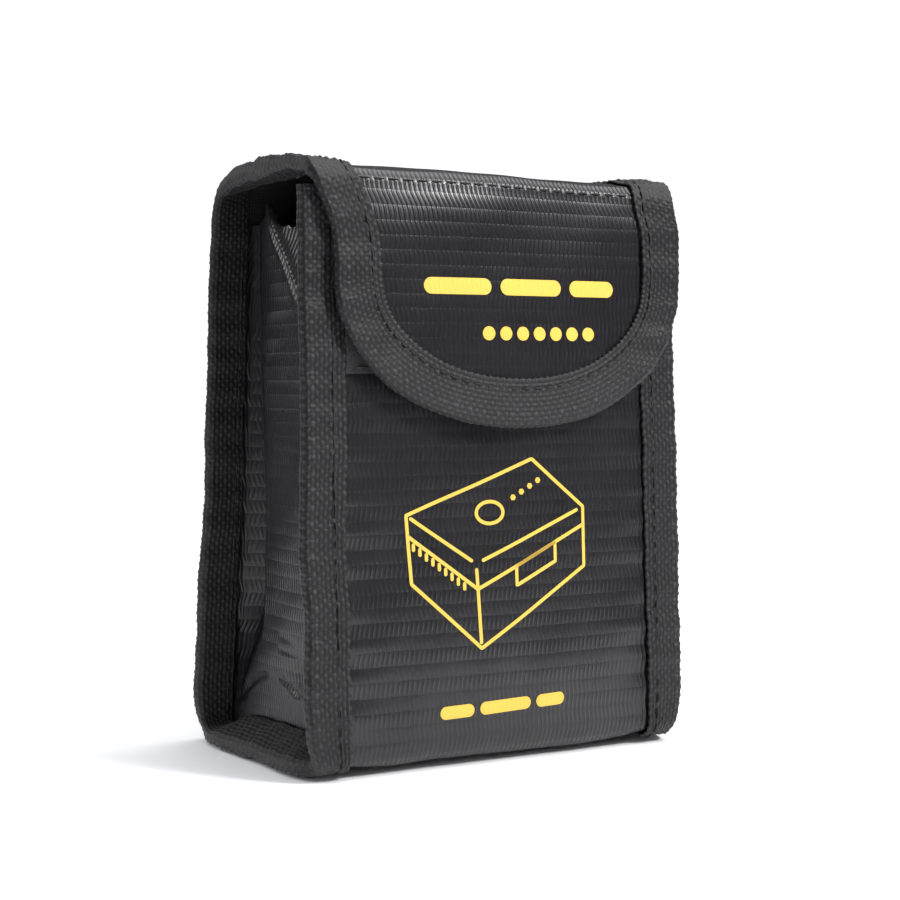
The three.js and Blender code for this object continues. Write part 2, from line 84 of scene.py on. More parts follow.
# ---------------- how the filled bag stands
ARCH = 5.2               # height of the bottom margins' arch between the floor folds
TIP_REST = 1.3           # height of those margins' outer edge
DROOP = 0.07             # slope of the lid's side margins
DROOP_START = 39.0
CORNER_PULL = 3.4        # how far the tip of a margin is drawn in at the rear top corner
CORNER_REACH = 11.0
FOLD_REST = 1.0          # the bottom folds stand this far off the floor
EASE = 2.0               # how much the stiff seams hold the walls up over the sagging bottom
SPREAD = 0.9             # extra half width of the filled-out lower part
FLARE = 1.2              # how far the rear seams spread at their foot
SKEW = 2.6               # how far the foot of the front turns to one side
TILT = 0.8               # the lid's left edge stands higher than its right by twice this
TAPER = 0.015            # share of its width that the bag loses towards the lid
PINCH = 0.25             # share of a margin's width that is lost at the floor folds
FRONT_BELLY = -1.5
BACK_BELLY = 1.0
CENTRE_Y = 0.88          # brings the middle of the settled box over the origin
CLOTH_WAVES = 0.22       # height of the broad waves in the cloth
SEAM_PUCKER = 0.16       # height of the small waves along the seams
LOW_FRONT = 0.7          # how far the front bulges low down
FLAP_HOLLOW = 1.8        # how far the cloth sinks at the flap's fold
FOOT_HOLLOW = 0.9        # and at the front's foot
TOP_CREASE = (-20, 100)  # where a gusset's top crease starts, from front to back and up
CREASE_SLOPE = 0.985
CREASE_LEAN = 0.32       # how steeply the gusset leans in above that crease
ROLL = 1.3               # how much the tape's outer leaf stands off the lid's edges

# ---------------- cloth, yarn and print
CLOTH_STEP = 0.75        # mesh spacing on cloth
TAPE_STEP = 0.29         # mesh spacing on the woven tape
RIB_PITCH = 1.25         # upright ribs of the coated cloth
RIB_LEAN = 0.2
BAND_PITCH = 3.37        # height of one band of ribs
WARP = 1.15              # width of one yarn column of the tape
FLOAT = 2.1              # length from bead to bead along a column
BEAD = 0.38              # height of a bead
FRAY = 0.16              # how far the yarns stand out along the tape's edges
KNOT_LINE = 8.7          # from the tape's edge to its row of raised picks
STITCH_PITCH = 3.8
STITCH_RUN = 2.8
STITCH_ARCH = 0.34       # how far a stitch rises between its two holes
THREAD_RADIUS = 0.26
STRANDS = 170            # loose glass strands on a gusset's raw edge
TUFT = 26                # how many of them stand together at the front
INK_LOW = 0.02
INK_HIGH = 0.13
LINE = 0.85              # width of a printed line

# ---------------- studio, in metres and watts
CAMERA_PLACE = (-0.2440, -0.4361, 0.0930)
CAMERA_DOWN = 2.2        # degrees below level
CAMERA_TURN = 29.4       # degrees to the right of straight back
CAMERA_LENS = 79.6
CAMERA_SENSOR = 36
LAMP_AIM = (0, 0, 0.07)
WORLD_LIGHT = 1.15
WORLD_GLOSS = 0.50       # how bright the world is in reflections
FLOOR_FADE = (160, 650)  # where the floor starts and stops to darken in reflections
MM = 0.001

CLOTH_EDGE = HALF_WIDTH - 1
SEAM_DEPTH = 2 * CLOTH + GAP
TAPE_TIP = HALF_WIDTH - TAPE
TAPE_FACE = GAP + TAPE + 0.1
VALLEY_Y = HALF_DEPTH - FLOOR_BEND


def smooth(low, high, value):
    t = np.clip((value - low) / (high - low), 0, 1)
    return t * t * (3 - 2 * t)


def ripple(u, v, seed, wavelength, waves=7):
    """Smooth irregular waves of about unit height over two directions."""
    rng = np.random.default_rng(seed)
    total = 0
    for _ in range(waves):
        turn, phase = rng.uniform(0, 2 * np.pi, 2)
        length = wavelength * rng.uniform(0.6, 1.6)
        total = total + np.sin(2 * np.pi * (u * np.cos(turn) + v * np.sin(turn)) / length + phase)
    return total / math.sqrt(waves)


# ---------------- the standing shape
def bottom_rise(across, y):
    midway = 1 - smooth(12, 27, np.abs(y))
    tip = np.clip((across - HALF_SEAM) / (HALF_WIDTH - HALF_SEAM), 0, 1.1)
    arch = ARCH * (smooth(27, HALF_SEAM, across) - tip)
    fold = FOLD_REST * (1 - midway)
    return fold + (TIP_REST - fold) * smooth(36, HALF_SEAM, across) + arch * midway


def settle(x, y, z):
    """The straight pouch bent into its standing shape, as an array of points."""
    x, y, z = np.broadcast_arrays(x, y, z)
    t = np.clip(z / HEIGHT, 0, 1)
    across = np.abs(x)
    outside = np.maximum(0, across - HALF_SEAM)
    frontness = 0.5 - 0.5 * y / HALF_DEPTH
    half_depth = HALF_DEPTH_TOP + (HALF_DEPTH_FLOOR - HALF_DEPTH_TOP) * (1 - t) ** 1.5
    belly = np.cos(np.pi / 2 * np.clip(x / HALF_SEAM, -1, 1)) ** 2 * np.sin(np.pi * t)
    skew = SKEW * (x / HALF_WIDTH) * (1 - t) * frontness
    to_fold = np.hypot(np.abs(y) - HALF_DEPTH, z) / 6
    pinch = 1 - PINCH * np.exp(-to_fold * to_fold)
    droop = DROOP * np.maximum(0, across - DROOP_START) * smooth(124, 138, z)
    to_corner = np.hypot(y - HALF_DEPTH, z - HEIGHT) / CORNER_REACH
    over_margin = np.clip((across - HALF_SEAM + 0.5) / 11, 0, 1.1)
    pull = CORNER_PULL * np.exp(-to_corner * to_corner) * over_margin
    flare = FLARE * smooth(-10, 28, y) * (1 - smooth(0, 70, z))
    widened = (SPREAD * (1 - smooth(60, 135, z)) + flare) * np.minimum(1, across / HALF_SEAM)
    rise = bottom_rise(across, y)
    lift = rise + (EASE - rise) * smooth(3, 28, z)
    bulge = np.where(y < 0, FRONT_BELLY, BACK_BELLY) * belly * np.abs(y) / HALF_DEPTH
    tilt = TILT * np.clip(x / HALF_SEAM, -1, 1) * smooth(124, 138, z)
    reach = (np.minimum(across, HALF_SEAM) + outside * pinch) * (1 - TAPER * t) + widened
    return np.stack([
        np.sign(x) * reach,
        y * half_depth / HALF_DEPTH + skew + bulge + CENTRE_Y - 0.7 * pull + flare * over_margin,
        z + lift - droop - pull - tilt,
    ], axis=-1)


class StripPath:
    """Lines and quarter turns in the plane across the bag, measured by length."""

    def __init__(self, y, z, heading):
        self.pieces = []
        self.length = 0.0
        self.end = (y, z, heading)

    def line(self, length):
        y, z, heading = self.end
        self.pieces.append((self.length, length, 0.0, y, z, heading))
        self.end = (y + length * math.cos(heading), z + length * math.sin(heading), heading)
        self.length += length
        return self

    def quarter(self, radius):
        y, z, heading = self.end
        length = radius * math.pi / 2
        self.pieces.append((self.length, length, 1 / radius, y, z, heading))
        turned = heading + math.pi / 2
        y += radius * (math.sin(turned) - math.sin(heading))
        z += radius * (math.cos(heading) - math.cos(turned))
        self.end = (y, z, turned)
        self.length += length
        return self

    def at(self, s, offset):
        table = np.array(self.pieces)
        index = np.clip(np.searchsorted(table[:, 0], s, side="right") - 1, 0, len(table) - 1)
        start, _, turn, y, z, heading = (table[index, k] for k in range(6))
        along = s - start
        now = heading + along * turn
        bent = turn > 0
        rate = np.where(bent, turn, 1)
        y = y + np.where(bent, (np.sin(now) - np.sin(heading)) / rate, along * np.cos(heading))
        z = z + np.where(bent, (np.cos(heading) - np.cos(now)) / rate, along * np.sin(heading))
        return y + offset * np.sin(now), z - offset * np.cos(now)

    def start_of(self, index):
        return self.pieces[index][0]

    def middle(self, index):
        return self.pieces[index][0] + self.pieces[index][1] / 2


LID_RUN = 2 * HALF_DEPTH + FLAP_STANDOFF - BACK_BEND - FLAP_BEND
strip = StripPath(-HALF_DEPTH, FRONT_TOP, -math.pi / 2)
strip.line(FRONT_TOP - FLOOR_BEND).quarter(FLOOR_BEND).line(2 * (HALF_DEPTH - FLOOR_BEND))
strip.quarter(FLOOR_BEND).line(HEIGHT - FLOOR_BEND - BACK_BEND).quarter(BACK_BEND).line(LID_RUN)
strip.quarter(FLAP_BEND).line(HEIGHT - FLAP_BEND - FLAP_TIP_HEIGHT)

FOLD_FRONT = strip.middle(1)
FOLD_BACK = strip.middle(3)
BACK_START = strip.start_of(4)
LID_START = strip.start_of(6)
LID_SEAM = LID_START + LID_RUN / 2
FOLD_FLAP = strip.middle(7)
FLAP_FLAT = strip.start_of(8)
FLAP_SEAM = FLAP_FLAT - 1.4
FLAP_START = FOLD_FLAP + 0.2
FLAP_TIP = strip.length
ROUND_START = FLAP_TIP - FLAP_ROUND


def sag(x, s):
    """How far the cloth lies outside its even shape."""
    inner = np.clip(x, -HALF_SEAM, HALF_SEAM)
    edge = np.exp(-(HALF_SEAM - np.abs(inner)) / 6)
    height = FRONT_TOP - s
    low_front = np.exp(-((height - 24) / 15) ** 2) * np.cos(np.pi / 2 * inner / HALF_SEAM) ** 2
    pucker = SEAM_PUCKER * edge * np.sin(2 * np.pi * s / 8.5 + ripple(s, 0 * s, 5, 40))
    waves = CLOTH_WAVES * ripple(inner, s, 3, 46) * (1 - 0.6 * edge) + 0.07 * ripple(inner, s, 4, 15)
    turning = smooth(FLAP_FLAT - 18, FLAP_FLAT - 3, s)
    flap_top = -FLAP_HOLLOW * turning * np.exp(-np.maximum(0, s - FLAP_FLAT) / 7)
    foot = -FOOT_HOLLOW * np.exp(-np.abs(s - FOLD_FRONT) / 9)
    return waves + pucker + LOW_FRONT * low_front + flap_top + foot


def strip_point(x, s, offset):
    x, s, offset = np.broadcast_arrays(x, s, offset)
    y, z = strip.at(s, offset + sag(x, s))
    return settle(x, y, z)


def front_height(z):
    return FRONT_TOP - z


def flap_height(z):
    return FLAP_FLAT + HEIGHT - FLAP_BEND - z


def flap_shift(s):
    down = np.clip((s - FLAP_START) / (FLAP_TIP - FLAP_START), 0, 1)
    return FLAP_SHIFT * smooth(0, 0.28, down)


def flap_point(x, s, offset):
    """A place on the flap, whose tongue hangs a little to one side."""
    return strip_point(x + flap_shift(s), s, offset)


# ---------------- meshes
def grid(columns, rows, closed=False):
    """Quads over rows of points; closed joins the last column to the first."""
    row = np.arange(rows - 1)[:, None] * columns
    column = np.arange(columns if closed else columns - 1)[None, :]
    after = (column + 1) % columns
    quads = [row + column, row + columns + column, row + columns + after, row + after]
    return np.stack([np.broadcast_to(q, (rows - 1, column.size)).ravel() for q in quads], 1)


def rim_of(quads):
    """The directed edges that only one quad uses."""
    edges = np.concatenate([quads[:, [k, (k + 1) % 4]] for k in range(4)])
    size = quads.max() + 1
    keys = edges[:, 0] * size + edges[:, 1]
    back = edges[:, 1] * size + edges[:, 0]
    return edges[~np.isin(back, keys)]


def solid(name, points, quads, materials, weave=None, slots=None):
    """A mesh object from millimetre points and quads, its faces turned outwards."""
    a, b, c, d = (points[quads[:, k]] for k in range(4))
    volume = (a * (np.cross(b, c) + np.cross(c, d))).sum()
    if volume < 0:
        quads = quads[:, ::-1]
    mesh = bpy.data.meshes.new(name)
    mesh.vertices.add(len(points))
    mesh.vertices.foreach_set("co", (points * MM).astype(np.float32).ravel())
    mesh.loops.add(quads.size)
    mesh.loops.foreach_set("vertex_index", quads.astype(np.int32).ravel())
    mesh.polygons.add(len(quads))
    mesh.polygons.foreach_set("loop_start", np.arange(0, quads.size, 4, dtype=np.int32))
    mesh.polygons.foreach_set("use_smooth", np.ones(len(quads), bool))
    if slots is not None:
        mesh.polygons.foreach_set("material_index", slots.astype(np.int32))
    mesh.update(calc_edges=True)
    if weave is not None:
        held = mesh.attributes.new("weave", "FLOAT_VECTOR", "POINT")
        held.data.foreach_set("vector", weave.astype(np.float32).ravel())
    mesh.set_sharp_from_angle(angle=math.radians(62))
    for material in materials:
        mesh.materials.append(material)
    piece = bpy.data.objects.new(name, mesh)
    bpy.context.scene.collection.objects.link(piece)
    return piece


def closed_faces(quads, count):
    """The quads of an outer layer, of the inner layer that matches it, and of their rim."""
    rim = rim_of(quads)
    sides = np.stack([rim[:, 1], rim[:, 0], count + rim[:, 0], count + rim[:, 1]], 1)
    return np.concatenate([quads, count + quads[:, ::-1], sides])


def shell(name, outer, inner, quads, materials, weave):
    """A thin closed body between two matching layers; the inner one takes the last material."""
    faces = closed_faces(quads, len(outer))
    slots = np.zeros(len(faces), int)
    slots[len(quads):2 * len(quads)] = len(materials) - 1
    points = np.concatenate([outer, inner])
    return solid(name, points, faces, materials, np.concatenate([weave, weave]), slots)


def spread(low, high, step):
    return np.linspace(low, high, max(2, int(round(abs(high - low) / step)) + 1))


def flat(points):
    return points.reshape(-1, 3)


def coordinates(u, v, height=0.0):
    """The place of each point on its cloth and the yarn's height, for the materials."""
    u, v, height = np.broadcast_arrays(u, v, height)
    return np.stack([u, v, height], -1).reshape(-1, 3)


# ---------------- materials
class Graph:
    """A node material, with short calls for the nodes that repeat."""

    def __init__(self, name):
        self.material = bpy.data.materials.new(name)
        self.material.use_nodes = True
        self.tree = self.material.node_tree
        self.shader = self.tree.nodes["Principled BSDF"]

    def node(self, kind, **settings):
        made = self.tree.nodes.new(kind)
        for key, value in settings.items():
            setattr(made, key, value)
        return made

    def link(self, source, target):
        if isinstance(source, (int, float)):
            target.default_value = source
        else:
            self.tree.links.new(source, target)

    def math(self, operation, *values):
        made = self.node("ShaderNodeMath", operation=operation)
        for socket, value in zip(made.inputs, values):
            self.link(value, socket)
        return made.outputs[0]

    def wave(self, value, period, power=1.0):
        """From 0 to 1 and back once in each period."""
        turned = self.math("COSINE", self.math("MULTIPLY", value, 2 * math.pi / period))
        half = self.math("MULTIPLY_ADD", turned, 0.5, 0.5)
        return self.math("POWER", half, power)

    def weave(self):
        place = self.node("ShaderNodeAttribute", attribute_name="weave")
        split = self.node("ShaderNodeSeparateXYZ")
        self.link(place.outputs["Vector"], split.inputs[0])
        return place.outputs["Vector"], *split.outputs

    def noise(self, vector, scale, detail=3.0, roughness=0.5):
        made = self.node("ShaderNodeTexNoise")
        self.link(vector, made.inputs["Vector"])
        made.inputs["Scale"].default_value = scale
        made.inputs["Detail"].default_value = detail
        made.inputs["Roughness"].default_value = roughness
        return made.outputs["Fac"]

    def stretched(self, vector, x, y, z):
        made = self.node("ShaderNodeMapping")
        self.link(vector, made.inputs["Vector"])
        made.inputs["Scale"].default_value = (x, y, z)
        return made.outputs[0]

    def object_mm(self):
        made = self.node("ShaderNodeTexCoord")
        return self.stretched(made.outputs["Object"], 1000, 1000, 1000)

    def colours(self, factor, dark, light):
        made = self.node("ShaderNodeMix", data_type="RGBA")
        self.link(factor, made.inputs["Factor"])
        made.inputs["A"].default_value = (*dark, 1)
        made.inputs["B"].default_value = (*light, 1)
        self.link(made.outputs["Result"], self.shader.inputs["Base Color"])

    def roughness(self, factor, low, high):
        value = self.math("MULTIPLY_ADD", factor, high - low, low)
        self.link(value, self.shader.inputs["Roughness"])

    def bump(self, height, millimetres):
        made = self.node("ShaderNodeBump")
        made.inputs["Distance"].default_value = millimetres * MM
        made.inputs["Strength"].default_value = 1.0
        self.link(height, made.inputs["Height"])
        self.link(made.outputs[0], self.shader.inputs["Normal"])


def ribbed_height(graph, across, along):
    """Upright ribs that lean to and fro from band to band, with a groove between bands."""
    lean = graph.math("SINE", graph.math("MULTIPLY", along, math.pi / BAND_PITCH))
    leaning = graph.math("MULTIPLY_ADD", lean, RIB_LEAN, across)
    rib = graph.wave(leaning, RIB_PITCH, 2.4)
    band = graph.wave(along, BAND_PITCH, 0.3)
    ribs = graph.math("MULTIPLY", rib, graph.math("MULTIPLY_ADD", band, 0.6, 0.4))
    return graph.math("MULTIPLY_ADD", band, 0.28, ribs)


def cloth_material():
    graph = Graph("coated_glass_cloth")
    vector, across, along, _ = graph.weave()
    fine = graph.noise(vector, 0.9, 4.0, 0.6)
    broad = graph.noise(vector, 0.05, 3.0, 0.5)
    ribs = ribbed_height(graph, across, along)
    graph.bump(graph.math("MULTIPLY_ADD", fine, 0.22, ribs), 0.1)
    # Painted shade: the cloth is darker in the grooves between ribs and bands and lighter on the rib
    # tops, mixed with broad random tone.
    painted_shade_and_tone = graph.math("MULTIPLY_ADD", ribs, 0.55, graph.math("MULTIPLY", broad, 0.4))
    graph.colours(painted_shade_and_tone, (0.0048, 0.0042, 0.0054), (0.0105, 0.0094, 0.0118))
    gloss = graph.math("MULTIPLY_ADD", fine, 0.4, graph.math("MULTIPLY", broad, 0.6))
    graph.roughness(gloss, 0.22, 0.40)
    return graph.material


def backing_material():
    graph = Graph("uncoated_inner_face")
    vector, across, along, _ = graph.weave()
    fine = graph.noise(vector, 1.6, 4.0, 0.6)
    crossed = graph.math("MULTIPLY", graph.wave(across, 0.75), graph.wave(along, 0.85))
    graph.bump(graph.math("MULTIPLY_ADD", fine, 0.4, crossed), 0.05)
    graph.colours(crossed, (0.0040, 0.0038, 0.0043), (0.0090, 0.0085, 0.0095))
    graph.roughness(fine, 0.6, 0.8)
    return graph.material


def tape_material():
    graph = Graph("woven_tape")
    vector, _, _, yarn = graph.weave()
    fibre = graph.noise(graph.stretched(vector, 7, 1.4, 1), 1.0, 3.0, 0.6)
    broad = graph.noise(graph.object_mm(), 0.12, 4.0, 0.6)
    graph.bump(fibre, 0.12)
    # Painted shade: the tape is darkened in the gaps between its beads and lighter on their tops by
    # the yarn's height, with broad random tone.
    painted_shade_and_tone = graph.math("MULTIPLY", graph.math("POWER", yarn, 2.0),
                       graph.math("MULTIPLY_ADD", broad, 0.9, 0.45))
    graph.colours(painted_shade_and_tone, (0.0013, 0.0012, 0.0015), (0.0300, 0.0282, 0.0322))
    graph.roughness(fibre, 0.36, 0.62)
    graph.shader.inputs["Specular IOR Level"].default_value = 0.42
    graph.shader.inputs["Sheen Weight"].default_value = 0.05
    graph.shader.inputs["Sheen Roughness"].default_value = 0.4
    return graph.material


def ink_material():
    graph = Graph("printed_ink")
    vector, across, along, _ = graph.weave()
    fine = graph.noise(vector, 1.4, 3.0, 0.6)
    graph.bump(graph.math("MULTIPLY_ADD", fine, 0.4, ribbed_height(graph, across, along)), 0.05)
    graph.colours(fine, (0.58, 0.37, 0.040), (0.68, 0.47, 0.068))
    graph.roughness(fine, 0.45, 0.62)
    return graph.material


def thread_material():
    graph = Graph("sewing_thread")
    place = graph.object_mm()
    twist = graph.noise(graph.stretched(place, 6, 6, 3), 1.0, 2.0)
    graph.bump(twist, 0.08)
    graph.colours(twist, (0.0045, 0.0042, 0.0050), (0.0125, 0.0118, 0.0135))
    graph.roughness(twist, 0.5, 0.75)
    return graph.material


def fastener_material():
    graph = Graph("hook_and_loop")
    place = graph.object_mm()
    fuzz = graph.noise(place, 2.4, 5.0, 0.7)
    graph.bump(fuzz, 0.35)
    graph.colours(fuzz, (0.0045, 0.0042, 0.0050), (0.0220, 0.0205, 0.0235))
    graph.roughness(fuzz, 0.8, 0.98)
    graph.shader.inputs["Sheen Weight"].default_value = 0.2
    return graph.material


def fibre_material():
    graph = Graph("glass_fibre_edge")
    place = graph.object_mm()
    strand = graph.noise(graph.stretched(place, 1, 1, 0.3), 3.0, 3.0)
    graph.bump(strand, 0.1)
    graph.colours(strand, (0.30, 0.29, 0.28), (0.72, 0.71, 0.68))
    graph.roughness(strand, 0.4, 0.7)
    return graph.material


def floor_material():
    graph = Graph("studio_floor")
    place = graph.object_mm()
    grain = graph.noise(place, 0.02, 2.0)
    centre = graph.node("ShaderNodeVectorMath", operation="LENGTH")
    graph.link(place, centre.inputs[0])
    far = graph.node("ShaderNodeMapRange", interpolation_type="SMOOTHSTEP")
    graph.link(centre.outputs["Value"], far.inputs["Value"])
    far.inputs["From Min"].default_value = FLOOR_FADE[0]
    far.inputs["From Max"].default_value = FLOOR_FADE[1]
    glossy = graph.node("ShaderNodeLightPath").outputs["Is Glossy Ray"]
    graph.colours(graph.math("MULTIPLY", far.outputs["Result"], glossy),
                  (0.87, 0.87, 0.875), (0.09, 0.09, 0.095))
    graph.roughness(grain, 0.85, 0.95)
    return graph.material


cloth_look = cloth_material()
backing_look = backing_material()
tape_look = tape_material()
ink_look = ink_material()
thread_look = thread_material()
fastener_look = fastener_material()
fibre_look = fibre_material()


# ---------------- bodies
def fold_ends(index):
    """Where the cloth starts and stops turning at a fold, in metres."""
    start = strip.start_of(index)
    ends = strip_point(0.0, np.array([start, strip.start_of(index + 1)]), 0.0) * MM
    return ends[0], ends[1]


def finish_piece(piece, body, nodes):
    """Hides the nodes that the piece stands for and parents it to its body; a piece on a fold is
    left where it is, with no body.
    """
    if body == "pouch_lid":
        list(fold_ends(5))
        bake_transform(piece)
    elif body == "lid_flap":
        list(fold_ends(7))
        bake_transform(piece)
    else:
        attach(piece, body)
    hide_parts(*nodes)
    return piece


# ---------------- cloth
def cut_cloth(piece):
    """Hands back the panel as it is."""
    return piece


def strip_panel(name, low, high, body):
    s = spread(low, high, CLOTH_STEP)[:, None]
    edge = np.minimum(CLOTH_EDGE, flap_half_width(s) - FLAP_INSET) if low >= LID_SEAM else CLOTH_EDGE
    x = spread(-1, 1, CLOTH_STEP / CLOTH_EDGE)[None, :] * edge
    quads = grid(x.shape[1], s.size)
    outer = flat(strip_point(x, s, 0.0))
    inner = flat(strip_point(x, s, -CLOTH))
    piece = shell(name, outer, inner, quads, [cloth_look, backing_look], coordinates(x, s))
    finish_piece(piece, body, [name])
    return cut_cloth(piece)


def flap_half_width(s):
    """Half the flap's width above its tongue, out to the bag's width at the middle of the lid."""
    widen = 2.5 * np.clip((ROUND_START - s) / (ROUND_START - FLAP_START), 0, 1) ** 2
    lid = 1.5 * np.clip((FLAP_START - s) / (FLAP_START - LID_SEAM), 0, 1)
    return FLAP_HALF_WIDTH + widen + lid


def tongue_drop(part):
    """How far below the start of the tongue its edge lies, at a share of its half width."""
    return FLAP_ROUND * (1 - np.clip(np.abs(part), 0, 1) ** FLAP_POWER) ** (1 / FLAP_POWER)


def flap_cloth():
    """From the stitched fold to the tongue's tip, its edge inside the tape."""
    u = np.linspace(-1, 1, 129)[None, :]
    spread_u = np.sin(u * np.pi / 2)
    turn_s = ROUND_START - 3
    top = spread(FLAP_SEAM, turn_s, CLOTH_STEP)[:, None]
    upper_x = (flap_half_width(top) - FLAP_INSET) * spread_u
    upper_s = top + 0 * upper_x
    part = np.linspace(0, 1, 52)[1:, None]
    edge_x = (FLAP_HALF_WIDTH - FLAP_INSET) * spread_u
    reach = FLAP_TIP - turn_s - FLAP_INSET
    edge_s = turn_s + tongue_drop(spread_u) * reach / FLAP_ROUND
    lower_x = edge_x + 0 * part
    lower_s = turn_s + (edge_s - turn_s) * part
    x = np.concatenate([upper_x, lower_x])
    s = np.concatenate([upper_s, lower_s])
    quads = grid(u.size, x.shape[0])
    outer = flat(flap_point(x, s, 0.0))
    inner = flat(flap_point(x, s, -CLOTH))
    piece = shell("flap_panel", outer, inner, quads, [cloth_look, backing_look],
                  coordinates(x, s))
    finish_piece(piece, "lid_flap", ["flap_panel"])
    return cut_cloth(piece)


# ---------------- gussets
CREASES = [  # from, to, width and height of each wrinkle, as places from front to back and up
    (TOP_CREASE, (13, 132.5), 0.8, 0.8),
    ((-20, 95.5), (10, 125.5), 0.8, 0.45),
    ((2.1, 15.5), (-6, 11), 0.7, -0.7),
    ((2.2, 24), (-6, 23.2), 0.7, -0.35),
    ((2.2, 27.5), (-6, 26.3), 0.9, -0.22),
    ((23, 9), (9, 15), 1.1, -0.6),
    ((-6, 60), (-14, 57), 1.6, 0.28),
]


def ridge_place(z):
    """Where the pleat's edge lies at a height: it swings back at the foot and at the top."""
    return 11.5 + 7 * smooth(50, 128, z) + 11 * (1 - smooth(6, 30, z))


def wrinkles(y, z):
    total = 0 * y
    for (y0, z0), (y1, z1), width, height in CREASES:
        dy, dz = y1 - y0, z1 - z0
        length = math.hypot(dy, dz)
        t = ((y - y0) * dy + (z - z0) * dz) / length**2
        away = np.abs((y - y0) * dz - (z - z0) * dy) / length
        ends = smooth(-0.12, 0.1, t) * (1 - smooth(0.9, 1.12, t))
        total = total + height * ends * np.exp(-(away / width) ** 2)
    return total


def gusset_top(y):
    """Height of the raw top edge: low in front, with a tip at the ridge of the pleat."""
    width = np.where(y < TIP_PLACE, 6.0, 1.8)
    tip = 4.2 * np.exp(-((y - TIP_PLACE) / width) ** 2)
    edge = 126 + 1.4 * (1 - smooth(-8, 2, y)) + 2.2 * smooth(5, 13, y) + tip
    seams = smooth(-27.4, -24.5, y) * (1 - smooth(25, 27.4, y))
    return GUSSET_TOP + (edge - GUSSET_TOP) * seams


def gusset_depth(y, z):
    """How far the side wall lies inside the seams."""
    opened = PLEAT_DEPTH * smooth(6, 36, z)
    ridge = ridge_place(z)
    to_back = np.clip((HALF_DEPTH - y) / (HALF_DEPTH - VALLEY_Y), 0, 1)
    to_ridge = np.clip((y - ridge) / (VALLEY_Y - ridge), 0, 1)
    pleat = opened * np.minimum(to_back, to_ridge)
    forward = np.clip((y + HALF_DEPTH) / (ridge + HALF_DEPTH), 0, 1)
    crease = TOP_CREASE[1] + CREASE_SLOPE * (y - TOP_CREASE[0])
    lean = CREASE_LEAN * np.maximum(0, z - crease) * np.clip((y + HALF_DEPTH) / 18, 0, 1)
    puff = 0.9 * np.sin(np.pi * forward) * smooth(6, 24, z)
    facet = 1.4 * np.clip(1 - np.abs(y + 7) / 7, 0, 1) * np.clip(1 - np.abs(z - 18) / 9, 0, 1)
    waves = 0.3 * ripple(y, z, 11, 30) + 0.04 * ripple(y, z, 12, 9)
    fade = smooth(0, 5, y + HALF_DEPTH) * smooth(0, 4, HALF_DEPTH - y) * smooth(2, 12, z)
    calm = 1 - 0.9 * smooth(ridge - 3, ridge + 1, y)
    return pleat + lean - puff + fade * (facet - wrinkles(y, z) - waves * calm)


def gusset_layer(side, layer):
    """The wall, row by row from the bottom, then its three margins along the rim."""
    offset = -CLOTH - GAP - layer * CLOTH
    across = side * (HALF_SEAM + layer * CLOTH)
    floor_s = spread(FOLD_FRONT, FOLD_BACK, 0.6)
    floor_y, floor_z = strip.at(floor_s, offset + sag(across, floor_s))
    low_rows = np.linspace(0, 1, 7)[1:-1, None]
    heights = spread(FLOOR_BEND, GUSSET_TOP, 0.65)[:, None]
    widest = (HALF_DEPTH + offset) / np.abs(floor_y[0])
    low_y = floor_y * (1 + (widest - 1) * low_rows)
    low_z = floor_z + (FLOOR_BEND - floor_z) * low_rows
    flat_y = floor_y * widest
    hat = np.interp(flat_y, [-HALF_DEPTH, PLEAT_FOLD, VALLEY_Y], [0, 1, 0])
    high_y = flat_y + hat * (ridge_place(heights) - PLEAT_FOLD) * smooth(FLOOR_BEND, 12, heights)
    high_z = heights + (gusset_top(high_y) - GUSSET_TOP) * smooth(104, GUSSET_TOP, heights)
    y = np.concatenate([floor_y[None, :], low_y, high_y])
    z = np.concatenate([floor_z[None, :], low_z, high_z])
    depth = gusset_depth(y, z)
    wall = settle(across - side * depth, y, z)
    low_front = FOLD_FRONT + (FRONT_TOP - FLOOR_BEND - FOLD_FRONT) * low_rows[:, 0]
    low_back = FOLD_BACK + (BACK_START - FOLD_BACK) * low_rows[:, 0]
    front_s = np.concatenate([[FOLD_FRONT], low_front, front_height(heights[:, 0])])
    back_s = np.concatenate([[FOLD_BACK], low_back, BACK_START + heights[:, 0] - FLOOR_BEND])
    wall[:, 0] = strip_point(across, front_s, offset)
    wall[:, -1] = strip_point(across, back_s, offset)
    wall[0] = strip_point(across, floor_s, offset)
    rim_s = np.concatenate([front_s[::-1], floor_s[1:-1], back_s])
    margin_x = side * np.linspace(HALF_SEAM + layer * CLOTH, CLOTH_EDGE, 9)[1:, None]
    margin = strip_point(margin_x, rim_s[None, :], offset)
    steps = np.linalg.norm(np.diff(wall, axis=1), axis=2)
    over = np.concatenate([0 * y[:, :1], np.cumsum(steps, axis=1)], axis=1)
    places = np.stack([over, z, 0 * y], -1)
    margin_places = np.stack([rim_s + 0 * margin_x, np.abs(margin_x) + 0 * rim_s,
                              0 * rim_s + 0 * margin_x], -1)
    points = np.concatenate([flat(wall), flat(margin)])
    return points, y.shape, len(rim_s), np.concatenate([flat(places), flat(margin_places)])


def gusset(name, side):
    outer, (rows, columns), rim, places = gusset_layer(side, 1)
    inner = gusset_layer(side, 0)[0]
    index = np.arange(rows * columns).reshape(rows, columns)
    edge = np.concatenate([index[::-1, 0], index[0, 1:-1], index[:, -1]])
    wall = grid(columns, rows)
    first = np.stack([rows * columns + np.arange(rim - 1), edge[:-1], edge[1:],
                      rows * columns + np.arange(1, rim)], 1)
    flange = rows * columns + grid(rim, 8)
    quads = np.concatenate([wall, first, flange[:, ::-1]])
    piece = shell(name, outer, inner, quads, [cloth_look, backing_look], places)
    finish_piece(piece, "pouch", [name])
    return cut_cloth(piece)


